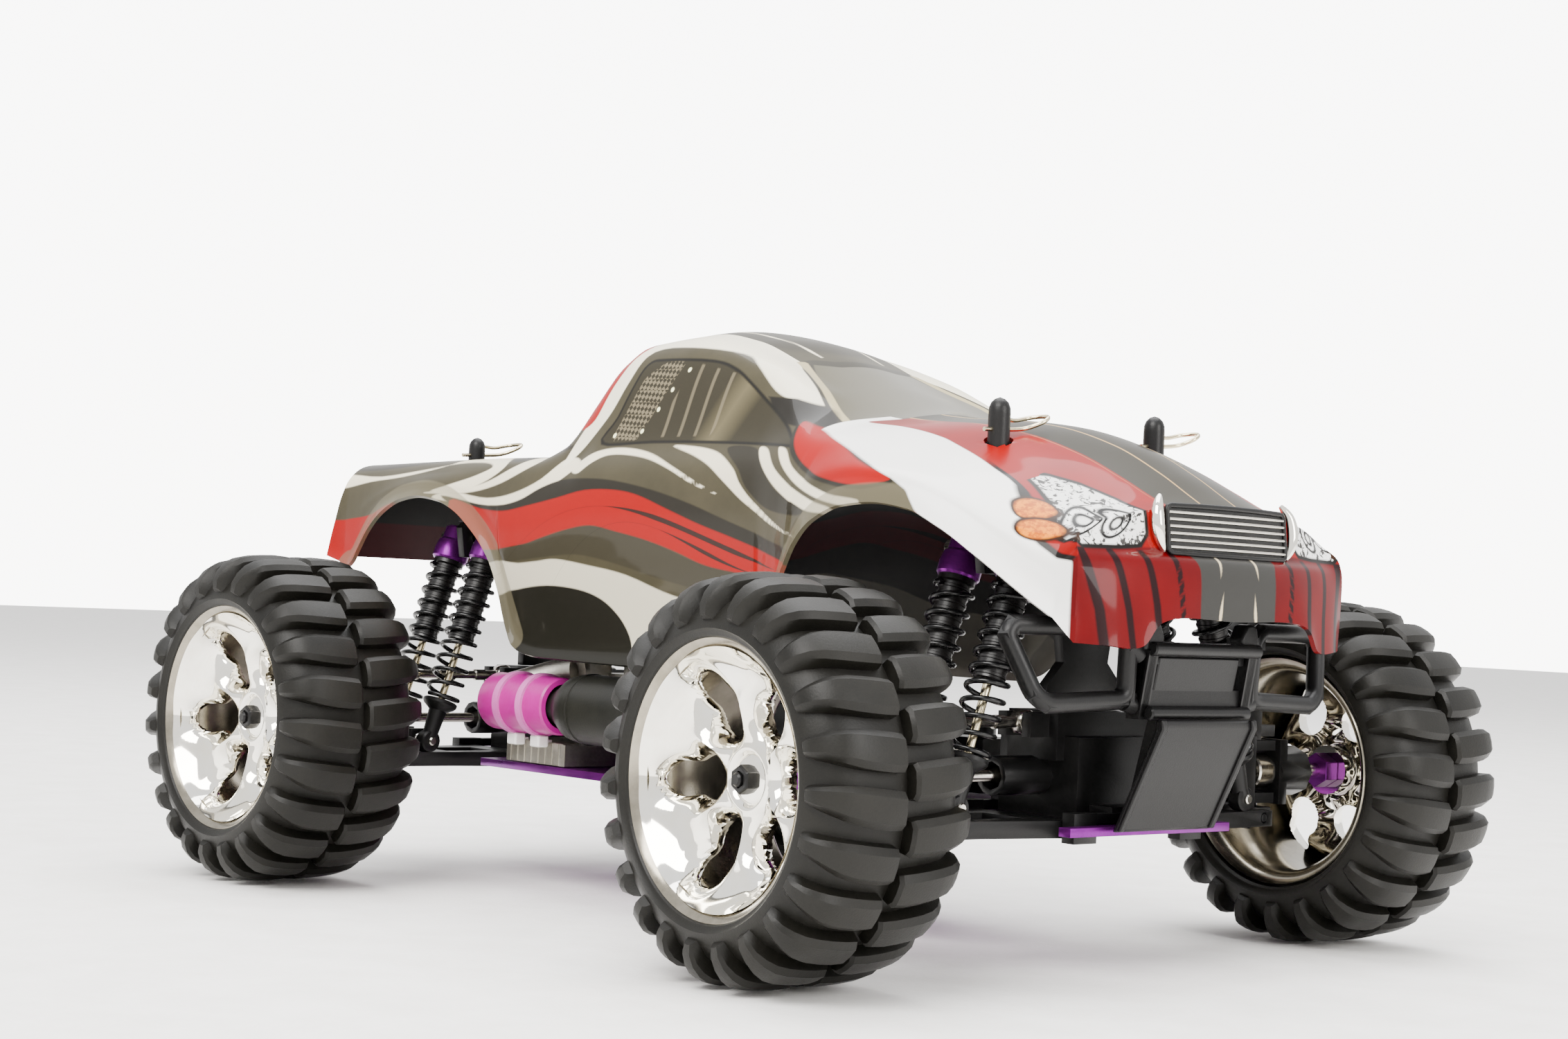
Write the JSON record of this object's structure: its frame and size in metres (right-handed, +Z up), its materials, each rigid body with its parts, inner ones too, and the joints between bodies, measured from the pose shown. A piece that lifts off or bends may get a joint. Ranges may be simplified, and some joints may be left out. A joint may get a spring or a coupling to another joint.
{
  "type": "remote control monster truck",
  "caption": "Free-standing remote control monster truck with a painted pickup shell over a plate chassis, lugged wheels on sprung parallel arms and a steered front axle.",
  "frame": {"origin": "bottom centre of the overall box, on the ground plane under the tyres", "axes": "+X forward along the length, +Y to the vehicle's left, +Z up"},
  "size_m": [0.4306, 0.3312, 0.2187],
  "materials": {
    "tyre_rubber": "matte rubber",
    "chrome_plate": "mirror",
    "painted_shell": "gloss, painted inside",
    "purple_alloy": "anodised purple",
    "alloy": "satin",
    "magenta_silicone": "satin silicone",
    "tank_plastic": "translucent white",
    "dark_pipe": "dark anodised",
    "steel": "satin",
    "black_nylon": "fine texture"
  },
  "bodies": {
    "root": {"chassis_plate": "purple_alloy", "front_gearbox": "black_nylon", "rear_gearbox": "black_nylon", "front_shock_tower": "black_nylon", "rear_shock_tower": "black_nylon", "front_bumper": "black_nylon", "skid_plate": "black_nylon", "engine": "alloy", "air_filter": "black_nylon", "exhaust_header": "alloy", "exhaust_coupler": "magenta_silicone", "tuned_pipe": "dark_pipe", "fuel_tank": "tank_plastic", "radio_box": "black_nylon", "steering_servo": "black_nylon"},
    "shell": {"body_shell": "painted_shell"},
    "fuel_lid": {"fuel_tank_lid": "black_nylon"},
    "spur_gear": {"spur_gear": "black_nylon"},
    "servo_saver": {"servo_saver": "black_nylon"},
    "steering_link": {"steering_link": "alloy"},
    "lower_arm_front_right": {"lower_arm_front_right": "black_nylon"},
    "upper_arm_front_right": {"upper_arm_front_right": "steel"},
    "dogbone_front_right": {"dogbone_front_right": "steel"},
    "c_hub_front_right": {"c_hub_front_right": "black_nylon"},
    "steering_knuckle_front_right": {"steering_knuckle_front_right": "black_nylon"},
    "wheel_front_right": {"tyre_front_right": "tyre_rubber", "rim_front_right": "chrome_plate", "axle_front_right": "steel"},
    "shock_bodies_front_right": {"shock_bodies_front_right": "black_nylon"},
    "shock_rods_front_right": {"shock_rods_front_right": "steel"},
    "tie_rod_right": {"tie_rod_right": "steel"},
    "lower_arm_front_left": {"lower_arm_front_left": "black_nylon"},
    "upper_arm_front_left": {"upper_arm_front_left": "steel"},
    "dogbone_front_left": {"dogbone_front_left": "steel"},
    "c_hub_front_left": {"c_hub_front_left": "black_nylon"},
    "steering_knuckle_front_left": {"steering_knuckle_front_left": "black_nylon"},
    "wheel_front_left": {"tyre_front_left": "tyre_rubber", "rim_front_left": "chrome_plate", "axle_front_left": "steel"},
    "shock_bodies_front_left": {"shock_bodies_front_left": "black_nylon"},
    "shock_rods_front_left": {"shock_rods_front_left": "steel"},
    "tie_rod_left": {"tie_rod_left": "steel"},
    "lower_arm_rear_right": {"lower_arm_rear_right": "black_nylon"},
    "upper_arm_rear_right": {"upper_arm_rear_right": "steel"},
    "dogbone_rear_right": {"dogbone_rear_right": "steel"},
    "hub_carrier_rear_right": {"hub_carrier_rear_right": "black_nylon"},
    "wheel_rear_right": {"tyre_rear_right": "tyre_rubber", "rim_rear_right": "chrome_plate", "axle_rear_right": "steel"},
    "shock_bodies_rear_right": {"shock_bodies_rear_right": "black_nylon"},
    "shock_rods_rear_right": {"shock_rods_rear_right": "steel"},
    "lower_arm_rear_left": {"lower_arm_rear_left": "black_nylon"},
    "upper_arm_rear_left": {"upper_arm_rear_left": "steel"},
    "dogbone_rear_left": {"dogbone_rear_left": "steel"},
    "hub_carrier_rear_left": {"hub_carrier_rear_left": "black_nylon"},
    "wheel_rear_left": {"tyre_rear_left": "tyre_rubber", "rim_rear_left": "chrome_plate", "axle_rear_left": "steel"},
    "shock_bodies_rear_left": {"shock_bodies_rear_left": "black_nylon"},
    "shock_rods_rear_left": {"shock_rods_rear_left": "steel"}
  },
  "joints": [
    {"name": "shell_lift", "type": "slide", "parent": "root", "child": "shell", "axis": [0, 0, 1], "range_m": [0, 0.12]},
    {"name": "fuel_lid_hinge", "type": "hinge", "parent": "root", "child": "fuel_lid", "pos_m": [-0.03726, 0.04, 0.0956], "axis": [0, -1, 0], "range_deg": [0, 100], "stiffness_Nm_per_rad": 0.004, "springref_deg": -22.92},
    {"name": "centre_drive_spin", "type": "hinge", "parent": "root", "child": "spur_gear", "pos_m": [0.00075, 0, 0.066], "axis": [1, 0, 0], "continuous": true},
    {"name": "steering", "type": "hinge", "parent": "root", "child": "servo_saver", "pos_m": [0.11074, 0.014, 0.057], "axis": [0, 0, 1], "range_deg": [-21.2, 28.8]},
    {"name": "steering_link_pin", "type": "hinge", "parent": "servo_saver", "child": "steering_link", "pos_m": [0.0868, 0.01559, 0.062], "axis": [0, 0, 1], "range_deg": [-28.8, 21.2]},
    {"name": "suspension_front_right", "type": "hinge", "parent": "root", "child": "lower_arm_front_right", "pos_m": [0.14724, -0.028, 0.047], "axis": [-1, 0, 0], "range_deg": [0, 18], "stiffness_Nm_per_rad": 5, "springref_deg": -25.78},
    {"name": "upper_arm_pivot_front_right", "type": "hinge", "parent": "root", "child": "upper_arm_front_right", "pos_m": [0.14724, -0.028, 0.08], "axis": [-1, 0, 0], "range_deg": [0, 18]},
    {"name": "dogbone_swing_front_right", "type": "hinge", "parent": "root", "child": "dogbone_front_right", "pos_m": [0.14724, -0.039, 0.0625], "axis": [-1, 0, 0], "range_deg": [0, 18]},
    {"name": "c_hub_pivot_front_right", "type": "hinge", "parent": "lower_arm_front_right", "child": "c_hub_front_right", "pos_m": [0.14724, -0.084, 0.047], "axis": [-1, 0, 0], "range_deg": [-18, 0]},
    {"name": "kingpin_front_right", "type": "hinge", "parent": "c_hub_front_right", "child": "steering_knuckle_front_right", "pos_m": [0.14724, -0.095, 0.0625], "axis": [0, 0, 1], "range_deg": [-21.2, 28.8]},
    {"name": "wheel_spin_front_right", "type": "hinge", "parent": "steering_knuckle_front_right", "child": "wheel_front_right", "pos_m": [0.14479, -0.13192, 0.0625], "axis": [0.0663, 0.9978, 0], "continuous": true},
    {"name": "shock_swing_front_right", "type": "hinge", "parent": "root", "child": "shock_bodies_front_right", "pos_m": [0.14724, -0.045, 0.136], "axis": [-1, 0, 0], "range_deg": [-0.02, 0.441]},
    {"name": "shock_stroke_front_right", "type": "slide", "parent": "shock_bodies_front_right", "child": "shock_rods_front_right", "axis": [0, 0.3128, 0.9498], "range_m": [0, 0.01395]},
    {"name": "tie_rod_pivot_right", "type": "hinge", "parent": "steering_link", "child": "tie_rod_right", "pos_m": [0.1233, -0.03741, 0.068], "axis": [-1, 0, 0], "range_deg": [0, 18]},
    {"name": "suspension_front_left", "type": "hinge", "parent": "root", "child": "lower_arm_front_left", "pos_m": [0.14724, 0.028, 0.047], "axis": [1, 0, 0], "range_deg": [0, 18], "stiffness_Nm_per_rad": 5, "springref_deg": -25.78},
    {"name": "upper_arm_pivot_front_left", "type": "hinge", "parent": "root", "child": "upper_arm_front_left", "pos_m": [0.14724, 0.028, 0.08], "axis": [1, 0, 0], "range_deg": [0, 18]},
    {"name": "dogbone_swing_front_left", "type": "hinge", "parent": "root", "child": "dogbone_front_left", "pos_m": [0.14724, 0.039, 0.0625], "axis": [1, 0, 0], "range_deg": [0, 18]},
    {"name": "c_hub_pivot_front_left", "type": "hinge", "parent": "lower_arm_front_left", "child": "c_hub_front_left", "pos_m": [0.14724, 0.084, 0.047], "axis": [1, 0, 0], "range_deg": [-18, 0]},
    {"name": "kingpin_front_left", "type": "hinge", "parent": "c_hub_front_left", "child": "steering_knuckle_front_left", "pos_m": [0.14724, 0.095, 0.0625], "axis": [0, 0, 1], "range_deg": [-21.2, 28.8]},
    {"name": "wheel_spin_front_left", "type": "hinge", "parent": "steering_knuckle_front_left", "child": "wheel_front_left", "pos_m": [0.1497, 0.13192, 0.0625], "axis": [0.0663, 0.9978, 0], "continuous": true},
    {"name": "shock_swing_front_left", "type": "hinge", "parent": "root", "child": "shock_bodies_front_left", "pos_m": [0.14724, 0.045, 0.136], "axis": [1, 0, 0], "range_deg": [-0.02, 0.441]},
    {"name": "shock_stroke_front_left", "type": "slide", "parent": "shock_bodies_front_left", "child": "shock_rods_front_left", "axis": [0, -0.3128, 0.9498], "range_m": [0, 0.01395]},
    {"name": "tie_rod_pivot_left", "type": "hinge", "parent": "steering_link", "child": "tie_rod_left", "pos_m": [0.1233, 0.04059, 0.068], "axis": [1, 0, 0], "range_deg": [0, 18]},
    {"name": "suspension_rear_right", "type": "hinge", "parent": "root", "child": "lower_arm_rear_right", "pos_m": [-0.14575, -0.028, 0.047], "axis": [-1, 0, 0], "range_deg": [0, 18], "stiffness_Nm_per_rad": 5, "springref_deg": -25.78},
    {"name": "upper_arm_pivot_rear_right", "type": "hinge", "parent": "root", "child": "upper_arm_rear_right", "pos_m": [-0.14575, -0.028, 0.08], "axis": [-1, 0, 0], "range_deg": [0, 18]},
    {"name": "dogbone_swing_rear_right", "type": "hinge", "parent": "root", "child": "dogbone_rear_right", "pos_m": [-0.14575, -0.039, 0.0625], "axis": [-1, 0, 0], "range_deg": [0, 18]},
    {"name": "hub_carrier_pivot_rear_right", "type": "hinge", "parent": "lower_arm_rear_right", "child": "hub_carrier_rear_right", "pos_m": [-0.14575, -0.084, 0.047], "axis": [-1, 0, 0], "range_deg": [-18, 0]},
    {"name": "wheel_spin_rear_right", "type": "hinge", "parent": "hub_carrier_rear_right", "child": "wheel_rear_right", "pos_m": [-0.14575, -0.132, 0.0625], "axis": [0, 1, 0], "continuous": true},
    {"name": "shock_swing_rear_right", "type": "hinge", "parent": "root", "child": "shock_bodies_rear_right", "pos_m": [-0.14575, -0.045, 0.136], "axis": [-1, 0, 0], "range_deg": [-0.02, 0.441]},
    {"name": "shock_stroke_rear_right", "type": "slide", "parent": "shock_bodies_rear_right", "child": "shock_rods_rear_right", "axis": [0, 0.3128, 0.9498], "range_m": [0, 0.01395]},
    {"name": "suspension_rear_left", "type": "hinge", "parent": "root", "child": "lower_arm_rear_left", "pos_m": [-0.14575, 0.028, 0.047], "axis": [1, 0, 0], "range_deg": [0, 18], "stiffness_Nm_per_rad": 5, "springref_deg": -25.78},
    {"name": "upper_arm_pivot_rear_left", "type": "hinge", "parent": "root", "child": "upper_arm_rear_left", "pos_m": [-0.14575, 0.028, 0.08], "axis": [1, 0, 0], "range_deg": [0, 18]},
    {"name": "dogbone_swing_rear_left", "type": "hinge", "parent": "root", "child": "dogbone_rear_left", "pos_m": [-0.14575, 0.039, 0.0625], "axis": [1, 0, 0], "range_deg": [0, 18]},
    {"name": "hub_carrier_pivot_rear_left", "type": "hinge", "parent": "lower_arm_rear_left", "child": "hub_carrier_rear_left", "pos_m": [-0.14575, 0.084, 0.047], "axis": [1, 0, 0], "range_deg": [-18, 0]},
    {"name": "wheel_spin_rear_left", "type": "hinge", "parent": "hub_carrier_rear_left", "child": "wheel_rear_left", "pos_m": [-0.14575, 0.132, 0.0625], "axis": [0, 1, 0], "continuous": true},
    {"name": "shock_swing_rear_left", "type": "hinge", "parent": "root", "child": "shock_bodies_rear_left", "pos_m": [-0.14575, 0.045, 0.136], "axis": [1, 0, 0], "range_deg": [-0.02, 0.441]},
    {"name": "shock_stroke_rear_left", "type": "slide", "parent": "shock_bodies_rear_left", "child": "shock_rods_rear_left", "axis": [0, -0.3128, 0.9498], "range_m": [0, 0.01395]}
  ],
  "couplings": [
    {"joint": "steering_link_pin", "follows": "steering", "ratio": -1},
    {"joint": "upper_arm_pivot_front_right", "follows": "suspension_front_right", "ratio": 1},
    {"joint": "dogbone_swing_front_right", "follows": "suspension_front_right", "ratio": 1},
    {"joint": "c_hub_pivot_front_right", "follows": "suspension_front_right", "ratio": -1},
    {"joint": "kingpin_front_right", "follows": "steering", "ratio": 1},
    {"joint": "shock_swing_front_right", "follows": "suspension_front_right", "ratio": 0.023392},
    {"joint": "shock_stroke_front_right", "follows": "suspension_front_right", "m_per_rad": 0.044377},
    {"joint": "tie_rod_pivot_right", "follows": "suspension_front_right", "ratio": 1},
    {"joint": "upper_arm_pivot_front_left", "follows": "suspension_front_left", "ratio": 1},
    {"joint": "dogbone_swing_front_left", "follows": "suspension_front_left", "ratio": 1},
    {"joint": "c_hub_pivot_front_left", "follows": "suspension_front_left", "ratio": -1},
    {"joint": "kingpin_front_left", "follows": "steering", "ratio": 1},
    {"joint": "shock_swing_front_left", "follows": "suspension_front_left", "ratio": 0.023392},
    {"joint": "shock_stroke_front_left", "follows": "suspension_front_left", "m_per_rad": 0.044377},
    {"joint": "tie_rod_pivot_left", "follows": "suspension_front_left", "ratio": 1},
    {"joint": "upper_arm_pivot_rear_right", "follows": "suspension_rear_right", "ratio": 1},
    {"joint": "dogbone_swing_rear_right", "follows": "suspension_rear_right", "ratio": 1},
    {"joint": "hub_carrier_pivot_rear_right", "follows": "suspension_rear_right", "ratio": -1},
    {"joint": "shock_swing_rear_right", "follows": "suspension_rear_right", "ratio": 0.023392},
    {"joint": "shock_stroke_rear_right", "follows": "suspension_rear_right", "m_per_rad": 0.044377},
    {"joint": "upper_arm_pivot_rear_left", "follows": "suspension_rear_left", "ratio": 1},
    {"joint": "dogbone_swing_rear_left", "follows": "suspension_rear_left", "ratio": 1},
    {"joint": "hub_carrier_pivot_rear_left", "follows": "suspension_rear_left", "ratio": -1},
    {"joint": "shock_swing_rear_left", "follows": "suspension_rear_left", "ratio": 0.023392},
    {"joint": "shock_stroke_rear_left", "follows": "suspension_rear_left", "m_per_rad": 0.044377}
  ]
}
